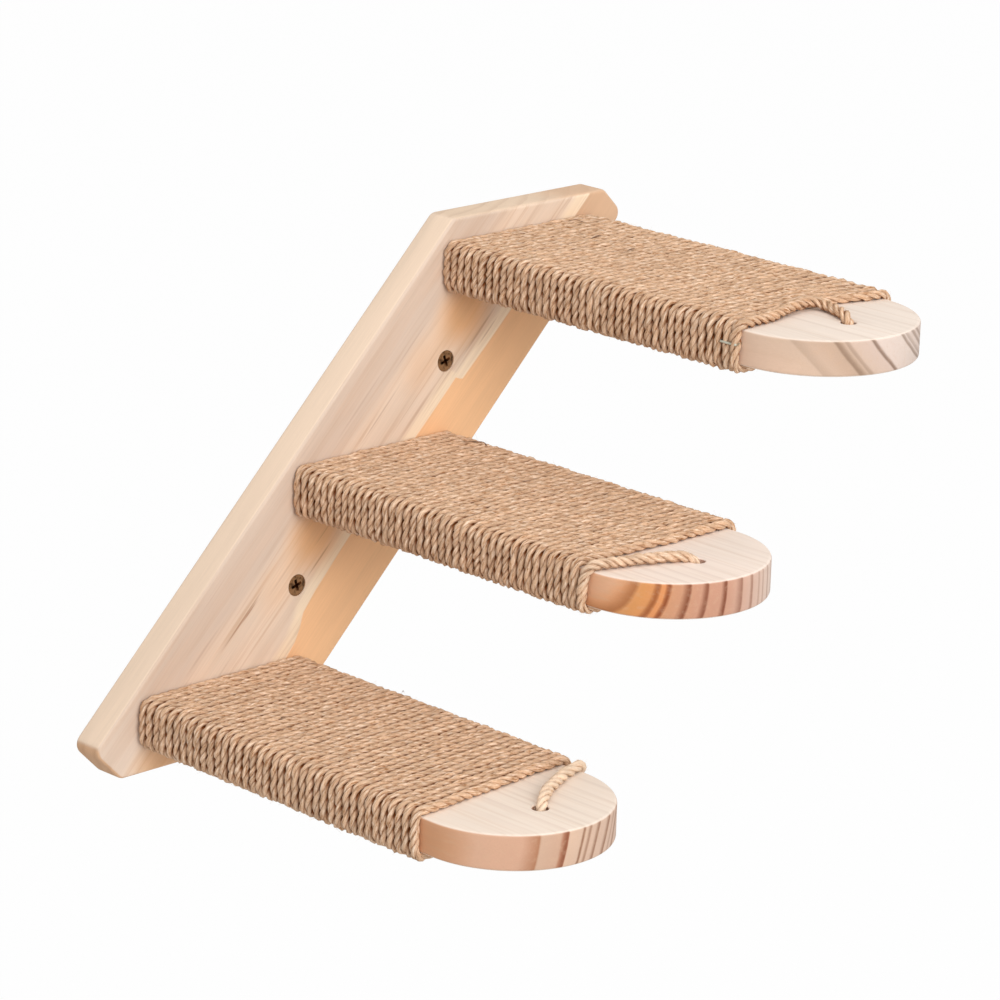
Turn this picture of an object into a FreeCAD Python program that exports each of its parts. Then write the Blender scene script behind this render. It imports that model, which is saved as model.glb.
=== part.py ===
# Wall-mounted climbing steps for a cat. A slanted pine plank is screwed to the wall and
# carries three round-nosed step boards, each higher and further right than the last. Each
# board is wound with jute rope from the plank to where its nose begins, and the rope
# starts in a hole in the nose.
# Millimetres, +Z up, +X to the right, +Y into the wall. The origin is on the plank's wall
# face, straight behind the middle step.
import FreeCAD, Part
import math
import os

V = FreeCAD.Vector

# Plank: a slanted board with level ends, whose two sharp tips are cut square. The steps'
# middle line isn't quite its own, so each half of its width and height has its own size
plank_lean_degrees = 45.0
plank_width_left = 50.0
plank_width_right = 47.0
plank_height_above = 124.0
plank_height_below = 126.5
plank_thickness = 18.0
plank_lower_tip_cut = 24.0
plank_upper_tip_cut = 20.0
plank_corner_radius = 6.0
plank_edge_ease = 1.5

# Step boards: butted against the plank's front, with a half-round nose
step_spacing = 141.0
board_width = 100.0
board_thickness = 18.0
board_straight = 205.0
board_edge_ease = 1.5
tail_hole_inset = 30.0
tail_hole_diameter = 8.0

# Rope: the turns next to the nose are wound singly, and the rest are a plain sleeve. It is
# a faceted cord with a facet on the wood, and its bends are drawn in flats
rope_diameter = 4.5
rope_gap = 0.55
rope_clearance = 0.3
rope_bend = 5.0
rope_turns = 24
rope_facets = 6
rope_flat_degrees = 46.0
rope_fit_share = 0.45

# Wall screws: countersunk, put in from the front midway between the steps
wall_screw_length = 50.0
wall_screw_head = 11.0
wall_screw_rim = 0.4
wall_screw_shank = 4.4
wall_screw_thread = 6.0
wall_screw_plain = 18.0
wall_screw_point = 6.0

# Step screws: flat-headed, put in from behind the plank in counterbores, two to each board
step_screw_length = 60.0
step_screw_head = 9.0
step_screw_head_height = 2.8
step_screw_thread = 4.5
step_screw_spacing = 60.0

# Screw seats: how far a head lies below the wood, and the room round head and thread
screw_sink = 0.3
screw_clearance = 0.1

# Staple: pins the first two turns of the upper rope to the side of its board
staple_thickness = 0.4
staple_width = 1.2
staple_bite = 6.0
staple_clearance = 0.05
staple_rise = 2.0
staple_turns = 2

cut_overrun = 1.0

# Places that follow from these sizes
lean = math.radians(plank_lean_degrees)
step_places = {"lower": -step_spacing, "middle": 0.0, "upper": step_spacing}
wall_screw_places = {"lower": -step_spacing / 2, "upper": step_spacing / 2}
tail_hole_reach = board_straight + board_width / 2 - tail_hole_inset
step_screw_sides = {"left": -step_screw_spacing / 2, "right": step_screw_spacing / 2}
step_screw_tip = screw_sink + step_screw_head_height + step_screw_length
stapled_step = "upper"
rope_radius = rope_diameter / 2
rope_pitch = rope_diameter + rope_gap
rope_height = rope_diameter * math.cos(math.pi / rope_facets)
rope_side = board_width / 2 + rope_clearance + rope_height / 2
rope_top = board_thickness / 2 + rope_clearance + rope_height / 2

# Each rope's route over the nose, from the board's edge to the hole. A point is its place
# to the right of the board's middle and its reach from the plank. The side is the edge
# that the rope comes up last, 1 on the right and -1 on the left, and the share is how much
# of a turn's advance lies in its run across the top.
rope_routes = {
    "lower": {
        "side": 1,
        "top_share": 1.2,
        "edge_reach": 198.0,
        "tail": [(33.0, 205.5), (19.0, 210.0), (7.5, 217.5)],
    },
    "middle": {
        "side": -1,
        "top_share": 0.5,
        "edge_reach": 203.5,
        "tail": [(-35.0, 210.5), (-21.0, 217.0), (-9.0, 221.0)],
    },
    "upper": {
        "side": -1,
        "top_share": 0.05,
        "edge_reach": 199.5,
        "tail": [(-30.0, 200.3), (-10.0, 199.8), (1.5, 201.0), (7.0, 207.0), (2.0, 214.5)],
    },
}


def on_plank(along, across, y):
    """A point of the plank, by its place along the plank's length and across its width."""
    x = along * math.cos(lean) + across * math.sin(lean)
    z = along * math.sin(lean) - across * math.cos(lean)
    return V(x, y, z)


def on_board(name, right, reach, rise):
    """A point by its place on a step board, from the middle of its end on the plank."""
    centre = on_plank(step_places[name], 0, -plank_thickness)
    return centre + V(right, -reach, rise)


def moved(shape, place):
    copy = shape.copy()
    copy.translate(place)
    return copy


def revolved(outline):
    """A solid round the Y axis, from the radii and depths of its outline."""
    points = [V(radius, depth, 0) for radius, depth in outline]
    face = Part.Face(Part.makePolygon(points + points[:1]))
    return face.revolve(V(0, 0, 0), V(0, 1, 0), 360)


def plank_end(level, heel_across, tip_across, edge_across):
    """One end's corners: a level cut from heel to tip, and a square cut to the other edge."""
    heel = (level + heel_across * math.cos(lean)) / math.sin(lean)
    tip = (level + tip_across * math.cos(lean)) / math.sin(lean)
    return [
        on_plank(heel, heel_across, 0),
        on_plank(tip, tip_across, 0),
        on_plank(tip, edge_across, 0)]


def plank_outline():
    """The plank's outline on the wall: a slanted board between two level cuts."""
    left = -plank_width_left
    right = plank_width_right
    lower_end = plank_end(-plank_height_below, right, left + plank_lower_tip_cut, left)
    upper_end = plank_end(plank_height_above, left, right - plank_upper_tip_cut, right)
    points = lower_end + upper_end
    return Part.makePolygon(points + points[:1])


def wall_screw_hole():
    """Cuts a countersunk seat, and a bore that passes the thread, from the plank's front."""
    mouth = wall_screw_head / 2 + screw_clearance
    bore = wall_screw_thread / 2 + screw_clearance
    cone_start = screw_sink + wall_screw_rim
    return revolved([
        (0, -cut_overrun),
        (mouth, -cut_overrun),
        (mouth, cone_start),
        (bore, cone_start + mouth - bore),
        (bore, plank_thickness + cut_overrun),
        (0, plank_thickness + cut_overrun),
    ])


def step_screw_hole():
    """Cuts a counterbore, and a bore that passes the thread, from the plank's wall face."""
    mouth = step_screw_head / 2 + screw_clearance
    bore = step_screw_thread / 2 + screw_clearance
    floor = -screw_sink - step_screw_head_height
    return revolved([
        (0, cut_overrun),
        (mouth, cut_overrun),
        (mouth, floor),
        (bore, floor),
        (bore, -plank_thickness - cut_overrun),
        (0, -plank_thickness - cut_overrun),
    ])


def back_plank():
    slab = Part.Face(plank_outline()).extrude(V(0, -plank_thickness, 0))
    corners = [e for e in slab.Edges if e.BoundBox.YLength > plank_thickness / 2]
    slab = slab.makeFillet(plank_corner_radius, corners)
    rims = [e for e in slab.Edges if e.BoundBox.YLength < plank_thickness / 2]
    slab = slab.makeChamfer(plank_edge_ease, rims)
    holes = [
        moved(wall_screw_hole(), on_plank(along, 0, -plank_thickness))
        for along in wall_screw_places.values()]
    holes += [
        moved(step_screw_hole(), on_plank(along, 0, 0) + V(right, 0, 0))
        for along in step_places.values()
        for right in step_screw_sides.values()]
    return slab.cut(holes)


def wall_screw(name):
    """Plain below its head, so that it draws the plank up to the wall, then threaded."""
    head = wall_screw_head / 2
    shank = wall_screw_shank / 2
    thread = wall_screw_thread / 2
    screw = revolved([
        (0, 0),
        (head, 0),
        (head, wall_screw_rim),
        (shank, wall_screw_rim + head - shank),
        (shank, wall_screw_plain),
        (thread, wall_screw_plain),
        (thread, wall_screw_length - wall_screw_point),
        (0, wall_screw_length),
    ])
    return moved(screw, on_plank(wall_screw_places[name], 0, screw_sink - plank_thickness))


def step_screw(name, side):
    """It stands in the plank, with its head's underside on the counterbore's floor."""
    head = step_screw_head / 2
    thread = step_screw_thread / 2
    screw = revolved([
        (0, -screw_sink),
        (head, -screw_sink),
        (head, -screw_sink - step_screw_head_height),
        (thread, -screw_sink - step_screw_head_height),
        (thread, -step_screw_tip),
        (0, -step_screw_tip),
    ])
    return moved(screw, on_plank(step_places[name], 0, 0) + V(step_screw_sides[side], 0, 0))


def board_outline(name):
    """The board's outline at its underside: a rectangle that ends in a half circle."""
    half = board_width / 2
    low = -board_thickness / 2
    left_back = on_board(name, -half, 0, low)
    left_front = on_board(name, -half, board_straight, low)
    tip = on_board(name, 0, board_straight + half, low)
    right_front = on_board(name, half, board_straight, low)
    right_back = on_board(name, half, 0, low)
    return Part.Wire([
        Part.LineSegment(left_back, left_front).toShape(),
        Part.Arc(left_front, tip, right_front).toShape(),
        Part.LineSegment(right_front, right_back).toShape(),
        Part.LineSegment(right_back, left_back).toShape(),
    ])


def step_board(name):
    slab = Part.Face(board_outline(name)).extrude(V(0, 0, board_thickness))
    long_edges = [
        e for e in slab.Edges
        if e.BoundBox.ZLength < board_thickness / 2 and e.BoundBox.YLength > board_width / 4]
    slab = slab.makeChamfer(board_edge_ease, long_edges)
    tail_hole = Part.makeCylinder(
        tail_hole_diameter / 2, board_thickness + cut_overrun * 2,
        on_board(name, 0, tail_hole_reach, -board_thickness / 2 - cut_overrun))
    pilots = [
        Part.makeCylinder(
            step_screw_thread / 2 + screw_clearance,
            step_screw_tip - plank_thickness + cut_overrun * 2,
            on_board(name, right, -cut_overrun, 0), V(0, -1, 0))
        for right in step_screw_sides.values()]
    cutters = [tail_hole] + pilots
    if name == stapled_step:
        cutters += [staple_leg(turns, staple_clearance) for turns in staple_leg_turns()]
    return slab.cut(cutters)


def bend_points(before, corner, after, radius):
    """The points of a bend that is drawn in flats, each of them tangent to its arc."""
    back = (before - corner).normalize()
    ahead = (after - corner).normalize()
    turn = math.pi - back.getAngle(ahead)
    flats = math.ceil(math.degrees(turn) / rope_flat_degrees)
    step = turn / flats
    centre = corner + (back + ahead).normalize() * (radius / math.cos(turn / 2))
    spoke = (corner + back * (radius * math.tan(turn / 2)) - centre) / math.cos(step / 2)
    axis = back.cross(ahead)
    points = []
    for flat in range(flats):
        swing = FreeCAD.Rotation(axis, -math.degrees(step) * (flat + 1 / 2))
        points.append(centre + swing.multVec(spoke))
    return points


def largest_radius(before, corner, after):
    """The largest arc that the two runs beside a corner leave room for."""
    turn = math.pi - (before - corner).getAngle(after - corner)
    shorter = min((before - corner).Length, (after - corner).Length)
    return rope_fit_share * shorter / math.tan(turn / 2)


def turn_corners(name):
    """The corners of a rope's turns, from the sleeve to where the last one comes up."""
    route = rope_routes[name]
    side = route["side"]
    top_advance = rope_pitch * route["top_share"]
    under_advance = rope_pitch - top_advance
    reach = route["edge_reach"] - rope_turns * rope_pitch
    points = [
        on_board(name, 0, reach - under_advance / 2, -rope_top),
        on_board(name, side * rope_side, reach, -rope_top),
        on_board(name, side * rope_side, reach, rope_top)]
    for turn in range(rope_turns):
        reach += top_advance
        points.append(on_board(name, -side * rope_side, reach, rope_top))
        points.append(on_board(name, -side * rope_side, reach, -rope_top))
        reach += under_advance
        points.append(on_board(name, side * rope_side, reach, -rope_top))
        points.append(on_board(name, side * rope_side, reach, rope_top))
    return points


def rope_line(name):
    """The rope's middle line, from the sleeve round the board and into the nose's hole."""
    turns = turn_corners(name)
    tail = [on_board(name, right, reach, rope_top) for right, reach in rope_routes[name]["tail"]]
    hole = [
        on_board(name, 0, tail_hole_reach, rope_top),
        on_board(name, 0, tail_hole_reach, rope_clearance - board_thickness / 2)]
    nose = turns[-1:] + tail + hole[:1]
    tail_radii = [largest_radius(*three) for three in zip(nose, nose[1:], nose[2:])]
    print(name, "rope, radii on the nose", [round(radius, 1) for radius in tail_radii])
    corners = turns + tail + hole
    radii = [rope_bend] * (len(turns) - 1) + tail_radii + [rope_bend]
    points = corners[:1]
    for before, corner, after, radius in zip(corners, corners[1:], corners[2:], radii):
        points += bend_points(before, corner, after, radius)
    points += corners[-1:]
    return [Part.makeLine(start, end) for start, end in zip(points, points[1:])]


def least_gap(edges):
    """The least gap between stretches of the rope, measured on points along them."""
    stretches = [edge.discretize(Distance=rope_bend) for edge in edges]
    two_turns = 2 * len(edges) // rope_turns
    nearest = math.inf
    for index, stretch in enumerate(stretches):
        for other in stretches[index + 3:index + two_turns]:
            for point in stretch:
                nearest = min(nearest, min(point.distanceToPoint(far) for far in other))
    return nearest - rope_diameter


def rope_tube(name):
    """The single turns and the tail, as one tube with mitred bends."""
    edges = rope_line(name)
    start = edges[0].Vertexes[0].Point
    up = V(0, 0, rope_radius)
    across = edges[0].tangentAt(0).cross(up)
    rim = []
    for facet in range(rope_facets + 1):
        angle = math.tau * facet / rope_facets
        rim.append(start + across * math.cos(angle) + up * math.sin(angle))
    section = Part.makePolygon(rim)
    shell = Part.BRepOffsetAPI.MakePipeShell(Part.Wire(edges))
    shell.setTransitionMode(1)
    shell.add(section)
    shell.build()
    shell.makeSolid()
    tube = shell.shape()
    length = sum(edge.Length for edge in edges)
    swept = Part.Face(section).Area * length
    print(name, "rope, length of the single turns and tail", round(length))
    print(name, "rope, least gap to itself", round(least_gap(edges), 2))
    print(name, "rope, volume", round(tube.Volume), "and section by length", round(swept))
    return tube


def rounded_bar(name, stand_off, radius, start, end):
    """A bar round the board, at a distance from its faces, between two reaches."""
    half_width = board_width / 2 + stand_off
    half_height = board_thickness / 2 + stand_off
    corner = on_board(name, -half_width, end, -half_height)
    bar = Part.makeBox(half_width * 2, end - start, half_height * 2, corner)
    long_edges = [e for e in bar.Edges if e.BoundBox.YLength > (end - start) / 2]
    return bar.makeFillet(radius, long_edges)


def rope_sleeve(name):
    """The turns between the plank and the first one that is wound singly."""
    first_reach = min(-point.y for point in turn_corners(name)) - plank_thickness
    start = rope_clearance
    end = first_reach - rope_radius - rope_gap
    outside = rounded_bar(
        name, rope_clearance + rope_height, rope_bend + rope_height / 2, start, end)
    inside = rounded_bar(
        name, rope_clearance, rope_bend - rope_height / 2, start - cut_overrun, end + cut_overrun)
    return outside.cut(inside)


def jute_rope(name):
    return Part.makeCompound([rope_tube(name), rope_sleeve(name)])


def staple_leg_turns():
    """Where the legs stand, in turns behind the middle of the rope's last turn."""
    return [-1 / 2, staple_turns - 1 / 2]


def staple_leg(turns, clearance):
    """One leg, from the crown's outside to its end in the wood."""
    inside = -rope_side - rope_height / 2 - staple_clearance
    outside = inside - staple_thickness
    reach = rope_routes[stapled_step]["edge_reach"] - turns * rope_pitch
    half_thickness = staple_thickness / 2 + clearance
    half_width = staple_width / 2 + clearance
    end = staple_bite + clearance - board_width / 2
    corner = on_board(
        stapled_step, outside, reach + half_thickness, staple_rise - half_width)
    return Part.makeBox(end - outside, half_thickness * 2, half_width * 2, corner)


def rope_staple():
    legs = [staple_leg(turns, 0) for turns in staple_leg_turns()]
    span = legs[0].BoundBox
    span.add(legs[1].BoundBox)
    corner = V(span.XMin, span.YMin, span.ZMin)
    crown = Part.makeBox(staple_thickness, span.YLength, staple_width, corner)
    return crown.fuse(legs).removeSplitter()


parts = {"back_plank": back_plank()}
for step in step_places:
    parts["step_board_" + step] = step_board(step)
    parts["jute_rope_" + step] = jute_rope(step)
    for side in step_screw_sides:
        parts["step_screw_" + step + "_" + side] = step_screw(step, side)
for place in wall_screw_places:
    parts["wall_screw_" + place] = wall_screw(place)
parts["rope_staple_" + stapled_step] = rope_staple()

os.makedirs("parts", exist_ok=True)
for node, shape in parts.items():
    shape.exportStep("parts/" + node + ".step")
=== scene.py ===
# Climbing steps for a cat: a slanted pine plank on the wall carries three round-nosed pine
# boards, each wound with jute rope. Sizes are named in millimetres.
import math
import random

import bpy
from mathutils import Matrix, Vector, noise


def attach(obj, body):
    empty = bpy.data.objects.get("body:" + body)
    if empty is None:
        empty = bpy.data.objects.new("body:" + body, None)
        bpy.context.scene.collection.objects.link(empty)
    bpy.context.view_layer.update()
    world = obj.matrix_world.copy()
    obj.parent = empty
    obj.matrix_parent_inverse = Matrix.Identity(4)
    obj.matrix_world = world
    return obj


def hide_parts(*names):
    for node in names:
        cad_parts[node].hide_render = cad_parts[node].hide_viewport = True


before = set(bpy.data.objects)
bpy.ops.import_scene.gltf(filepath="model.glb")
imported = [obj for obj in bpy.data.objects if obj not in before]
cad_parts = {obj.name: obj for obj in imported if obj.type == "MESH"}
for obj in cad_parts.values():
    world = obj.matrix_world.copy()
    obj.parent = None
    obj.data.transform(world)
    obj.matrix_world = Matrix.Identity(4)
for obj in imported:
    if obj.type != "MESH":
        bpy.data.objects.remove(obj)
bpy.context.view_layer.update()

# Back plank
# A slanted board of planed pine with level ends, glued up from strips, so that a tan strip
# of heartwood runs up its right side. Its edges are sanded round, and it is drilled for two
# countersunk wall screws and, from behind, for the six screws that hold the steps.
plank_lean = math.radians(45.0)
plank_width_left = 50.0
plank_width_right = 47.0
plank_height_above = 124.0
plank_height_below = 126.5
plank_thickness = 18.0
plank_lower_tip_cut = 24.0
plank_upper_tip_cut = 20.0
plank_corner_radius = 6.0
plank_edge_ease = 1.9
step_spacing = 141.0
step_places = {"lower": -step_spacing, "middle": 0.0, "upper": step_spacing}
wall_screw_places = {"lower": -step_spacing / 2, "upper": step_spacing / 2}
wall_screw_head_radius = 5.5
wall_screw_bore_radius = 3.1
screw_sink = 0.3
step_screw_sides = {"left": -30.0, "right": 30.0}
counterbore_radius = 4.6
counterbore_depth = 3.1
step_screw_bore_radius = 2.35
seat_room = 0.2
seat_wall = 0.4
cut_overrun = 1.0


def seen_colour(*paint):
    """A linear colour from the red, green and blue of 0 to 255 that it shows on a screen."""
    linear = []
    for value in paint:
        share = value / 255
        linear.append(share / 12.92 if share <= 0.04045 else ((share + 0.055) / 1.055) ** 2.4)
    return (*linear, 1.0)


def feed(tree, node, inputs):
    """Links a node's inputs where a socket is given, and sets them where a value is."""
    for name, value in inputs.items():
        if isinstance(value, bpy.types.NodeSocket):
            tree.links.new(value, node.inputs[name])
        else:
            node.inputs[name].default_value = value


def add_node(tree, kind, inputs=None, **settings):
    node = tree.nodes.new(kind)
    for name, setting in settings.items():
        setattr(node, name, setting)
    feed(tree, node, inputs or {})
    return node


def maths(tree, operation, *terms):
    return add_node(tree, "ShaderNodeMath", dict(enumerate(terms)), operation=operation).outputs[0]


def times(tree, first, second):
    return maths(tree, "MULTIPLY", first, second)


def ranged(tree, value, low, high, to_low=0.0, to_high=1.0):
    """Carries a value from one range to another, with soft ends."""
    return add_node(tree, "ShaderNodeMapRange", {
        "Value": value, "From Min": low, "From Max": high, "To Min": to_low,
        "To Max": to_high}, interpolation_type="SMOOTHSTEP").outputs["Result"]


def mixed(tree, share, first, second, blend="MIX"):
    """Two colours mixed by a share."""
    return add_node(
        tree, "ShaderNodeMix", {0: share, 6: first, 7: second}, data_type="RGBA",
        blend_type=blend).outputs[2]


def ramp(tree, factor, stops):
    """A colour ramp from its places and colours, in rising order."""
    node = add_node(tree, "ShaderNodeValToRGB", {"Fac": factor})
    elements = node.color_ramp.elements
    elements.remove(elements[1])
    elements[0].position, elements[0].color = stops[0]
    for position, colour in stops[1:]:
        elements.new(position).color = colour
    return node.outputs["Color"]


def stretched_noise(tree, places, scales, detail=3.0, roughness=0.5):
    """Noise from places in millimetres, with its own scale in each direction."""
    terms = [times(tree, place, scale) for place, scale in zip(places, scales)]
    vector = add_node(tree, "ShaderNodeCombineXYZ", dict(enumerate(terms))).outputs[0]
    return add_node(tree, "ShaderNodeTexNoise", {
        "Vector": vector, "Scale": 1.0, "Detail": detail, "Roughness": roughness}).outputs["Fac"]


def strayed(tree, place, tone, reach):
    """A place that strays to both sides with a tone, whose middle is 0.5."""
    return maths(tree, "ADD", place, times(tree, maths(tree, "SUBTRACT", tone, 0.5), reach))


def distance(tree, *ways):
    """How far a place lies from a point, from its distances in two directions."""
    squares = [maths(tree, "POWER", way, 2.0) for way in ways]
    return maths(tree, "SQRT", maths(tree, "ADD", *squares))


def shaded(tree, colour, *shades):
    """A colour made lighter or darker by two factors."""
    shade = times(tree, *shades)
    grey = add_node(tree, "ShaderNodeCombineColor", {0: shade, 1: shade, 2: shade}).outputs[0]
    return mixed(tree, 1.0, colour, grey, "MULTIPLY")


def relief(tree, height, strength, depth):
    """A relief too fine for the mesh, with its depth in metres."""
    return add_node(tree, "ShaderNodeBump", {
        "Height": height, "Strength": strength, "Distance": depth}).outputs[0]


def new_group(name, inputs, outputs):
    """A shader group of plain numbers, its inputs to draw on, and its end node."""
    group = bpy.data.node_groups.new(name, "ShaderNodeTree")
    for names, way in ((inputs, "INPUT"), (outputs, "OUTPUT")):
        for socket in names:
            group.interface.new_socket(socket, in_out=way, socket_type="NodeSocketFloat")
    return group, group.nodes.new("NodeGroupInput").outputs, group.nodes.new("NodeGroupOutput")


def place_group(tree, group, inputs):
    return add_node(tree, "ShaderNodeGroup", inputs, node_tree=group).outputs


def new_material(name):
    """A material with its tree and its Principled shader."""
    material = bpy.data.materials.new(name)
    material.use_nodes = True
    return material, material.node_tree, material.node_tree.nodes["Principled BSDF"]


# Growth rings: the distance from the tree's pith, in millimetres, with a slow wander. The
# fan turns the rings' lean across the board, as in timber from near a knot.
grain = ("Along", "Across", "Depth")
growth_rings, given, made = new_group(
    "growth_rings", grain + ("Pith Across", "Pith Depth", "Wander", "Fan", "Fan Start"),
    ("Ring Place",))
tree = growth_rings
past_start = maths(tree, "SUBTRACT", given["Across"], given["Fan Start"])
fan_shift = times(tree, times(tree, past_start, given["Fan"]), given["Depth"])
ring_across = maths(
    tree, "SUBTRACT", maths(tree, "ADD", given["Across"], fan_shift), given["Pith Across"])
ring_depth = maths(tree, "SUBTRACT", given["Depth"], given["Pith Depth"])
wander = stretched_noise(tree, [given[way] for way in grain], (0.008, 0.06, 0.06), 2.0)
feed(tree, made, {"Ring Place": strayed(
    tree, distance(tree, ring_across, ring_depth), wander, given["Wander"])})

# Pine fibre: fine streaks along the grain, wider soft streaks, and a slow change of tone
pine_fibre, given, made = new_group("pine_fibre", grain, ("Fine", "Streak", "Tone"))
tree = pine_fibre
places = [given[way] for way in grain]
feed(tree, made, {
    "Fine": stretched_noise(tree, places, (0.035, 1.9, 1.9), 4.0, 0.6),
    "Streak": ranged(
        tree, stretched_noise(tree, places, (0.012, 0.42, 0.42), 3.0, 0.55), 0.48, 0.72),
    "Tone": stretched_noise(tree, places, (0.009, 0.07, 0.07), 2.0)})

# Lens along the grain: draws the resin streaks and the patches of painted shade under the steps
streak_measures = ("Centre Along", "Centre Across", "Half Length", "Half Width", "Darkness")
resin_and_shade_lens, given, made = new_group(
    "resin_and_shade_lens", ("Along", "Across") + streak_measures, ("Streak",))
tree = resin_and_shade_lens
lens_ways = [
    maths(tree, "DIVIDE", maths(tree, "SUBTRACT", given[way], given["Centre " + way]), given[half])
    for way, half in (("Along", "Half Length"), ("Across", "Half Width"))]
feed(tree, made, {"Streak": times(
    tree, ranged(tree, distance(tree, *lens_ways), 1.0, 0.2), given["Darkness"])})


def streak_at(tree, along, across, measures):
    """How strongly a resin streak or a patch of painted shade colours a place."""
    return place_group(tree, resin_and_shade_lens, {
        "Along": along, "Across": across, **dict(zip(streak_measures, measures))})["Streak"]


def reach_along(tree, coordinate, way):
    """How far one of a piece's own coordinates reaches along a direction."""
    inputs = {0: add_node(tree, "ShaderNodeTexCoord").outputs[coordinate], 1: way}
    return add_node(
        tree, "ShaderNodeVectorMath", inputs, operation="DOT_PRODUCT").outputs["Value"]


def facing(tree, way):
    """How far a surface faces along a direction of its piece, without sign."""
    return maths(tree, "ABSOLUTE", reach_along(tree, "Normal", way))


def millimetres_along(tree, way):
    """The place on a piece along a direction of it, in millimetres."""
    return reach_along(tree, "Object", tuple(part * 1000 for part in way))


def finish_pine(tree, shader, colour, fine, end_share):
    """Planed, unfinished pine: dull, with a slight relief of its fibres."""
    rough = ranged(tree, fine, 0.2, 0.8, 0.58, 0.74)
    feed(tree, shader, {
        "Base Color": colour,
        "Roughness": maths(tree, "ADD", rough, times(tree, end_share, 0.12)),
        "Normal": relief(tree, fine, 0.25, 0.0003), "Specular IOR Level": 0.2})


plank_cream = seen_colour(219, 196, 177)
plank_middle = seen_colour(234, 210, 188)
plank_straw = seen_colour(252, 228, 198)
plank_heartwood = seen_colour(248, 197, 149)
plank_lit_side = seen_colour(238, 212, 187)
plank_streak = seen_colour(204, 166, 134)
plank_painted_shade = seen_colour(234, 178, 124)
plank_resin = seen_colour(158, 104, 66)
plank_top_heartwood = seen_colour(218, 178, 144)
plank_top_end = seen_colour(230, 204, 178)
plank_low_end = seen_colour(214, 172, 136)
ring_width = 7.3
heartwood_edge = [
    (-160, 21.0), (-105, 22.0), (-92, 20.5), (-85, 18.0), (-78, 14.0), (-66, 12.5), (-40, 11.5),
    (0, 11.0), (40, 12.0), (69.0, 12.3), (70.5, 17.0), (95, 18.0), (160, 19.0)]
heartwood_span = 320.0
heartwood_reach = 30.0

# The plank's resin streaks and the patches of painted warm shade under the steps: where their
# centres lie along and across, their half length and half width, and how strong they are
plank_resin_streaks = [
    (-104, -18.0, 24, 0.9, 0.75), (-98, -17.2, 10, 0.6, 0.8), (-52, 2.6, 15, 0.9, 0.55),
    (38, 3.2, 26, 1.2, 0.35), (96, 7.6, 20, 1.2, 0.55), (99, 13.0, 13, 0.9, 0.4),
    (24, -17.0, 24, 0.7, 0.35), (-40, -5.0, 12, 0.6, 0.35), (-70, -12.0, 20, 0.8, 0.2),
    (62, -26.0, 24, 0.8, 0.25), (-130, -28.0, 20, 0.9, 0.25), (20, -32.0, 30, 0.9, 0.2)]
painted_shade_places = [
    (-44, -8.0, 30, 25.0, 0.85), (97, -8.0, 30, 25.0, 0.85), (-184, -10.0, 28, 22.0, 0.7),
    (-76, -10.0, 26, 16.0, 0.25), (62, -12.0, 28, 16.0, 0.3)]

up_plank = (math.cos(plank_lean), 0.0, math.sin(plank_lean))
over_plank = (math.sin(plank_lean), 0.0, -math.cos(plank_lean))
out_of_plank = (0.0, -1.0, 0.0)
plank_pine, tree, shader = new_material("plank_pine")
along, across, depth = [
    millimetres_along(tree, way) for way in (up_plank, over_plank, out_of_plank)]
places = {"Along": along, "Across": across, "Depth": depth}
fibre = place_group(tree, pine_fibre, places)
rings = place_group(tree, growth_rings, {
    **places, "Pith Across": -60.0, "Pith Depth": -50.0, "Wander": 8.0})["Ring Place"]
ring_wave = maths(tree, "FRACT", maths(tree, "DIVIDE", rings, ring_width))
ring_line = times(tree, ranged(tree, ring_wave, 0.45, 0.92), ranged(tree, ring_wave, 1.0, 0.93))

edge_curve = add_node(tree, "ShaderNodeFloatCurve", {
    "Value": maths(tree, "ADD", maths(tree, "DIVIDE", along, heartwood_span), 0.5)})
edge_points = edge_curve.mapping.curves[0].points
while len(edge_points) < len(heartwood_edge):
    edge_points.new(0.5, 0.5)
for point, (place, reach) in zip(edge_points, heartwood_edge):
    point.location = (place / heartwood_span + 0.5, reach / heartwood_reach)
    point.handle_type = "VECTOR"
edge_curve.mapping.update()
past_edge = maths(tree, "SUBTRACT", across, times(tree, edge_curve.outputs[0], heartwood_reach))
past_edge = strayed(tree, past_edge, fibre["Tone"], 2.0)
cream_share = ranged(tree, strayed(tree, across, fibre["Tone"], 10.0), -18.0, -30.0)
colour = mixed(tree, cream_share, plank_middle, plank_cream)
# Painted light: a pale strip along the heartwood's edge, raised to make up for the steps' shade
# there
colour = mixed(tree, ranged(tree, past_edge, -10.0, -4.0), colour, plank_straw)
streaks = times(tree, fibre["Streak"], ranged(tree, cream_share, 0.0, 1.0, 0.5, 0.25))
colour = mixed(tree, streaks, colour, plank_streak)
colour = mixed(tree, times(tree, ring_line, 0.16), colour, plank_streak)
heartwood = mixed(
    tree, ranged(tree, along, 140.0, 175.0), plank_heartwood, plank_top_heartwood)
colour = mixed(tree, ranged(tree, past_edge, -0.6, 0.6), colour, heartwood)
# Painted warm shade: tan patches on the plank where each step shades it from above
for measures in painted_shade_places:
    colour = mixed(tree, streak_at(tree, along, across, measures), colour, plank_painted_shade)
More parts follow.
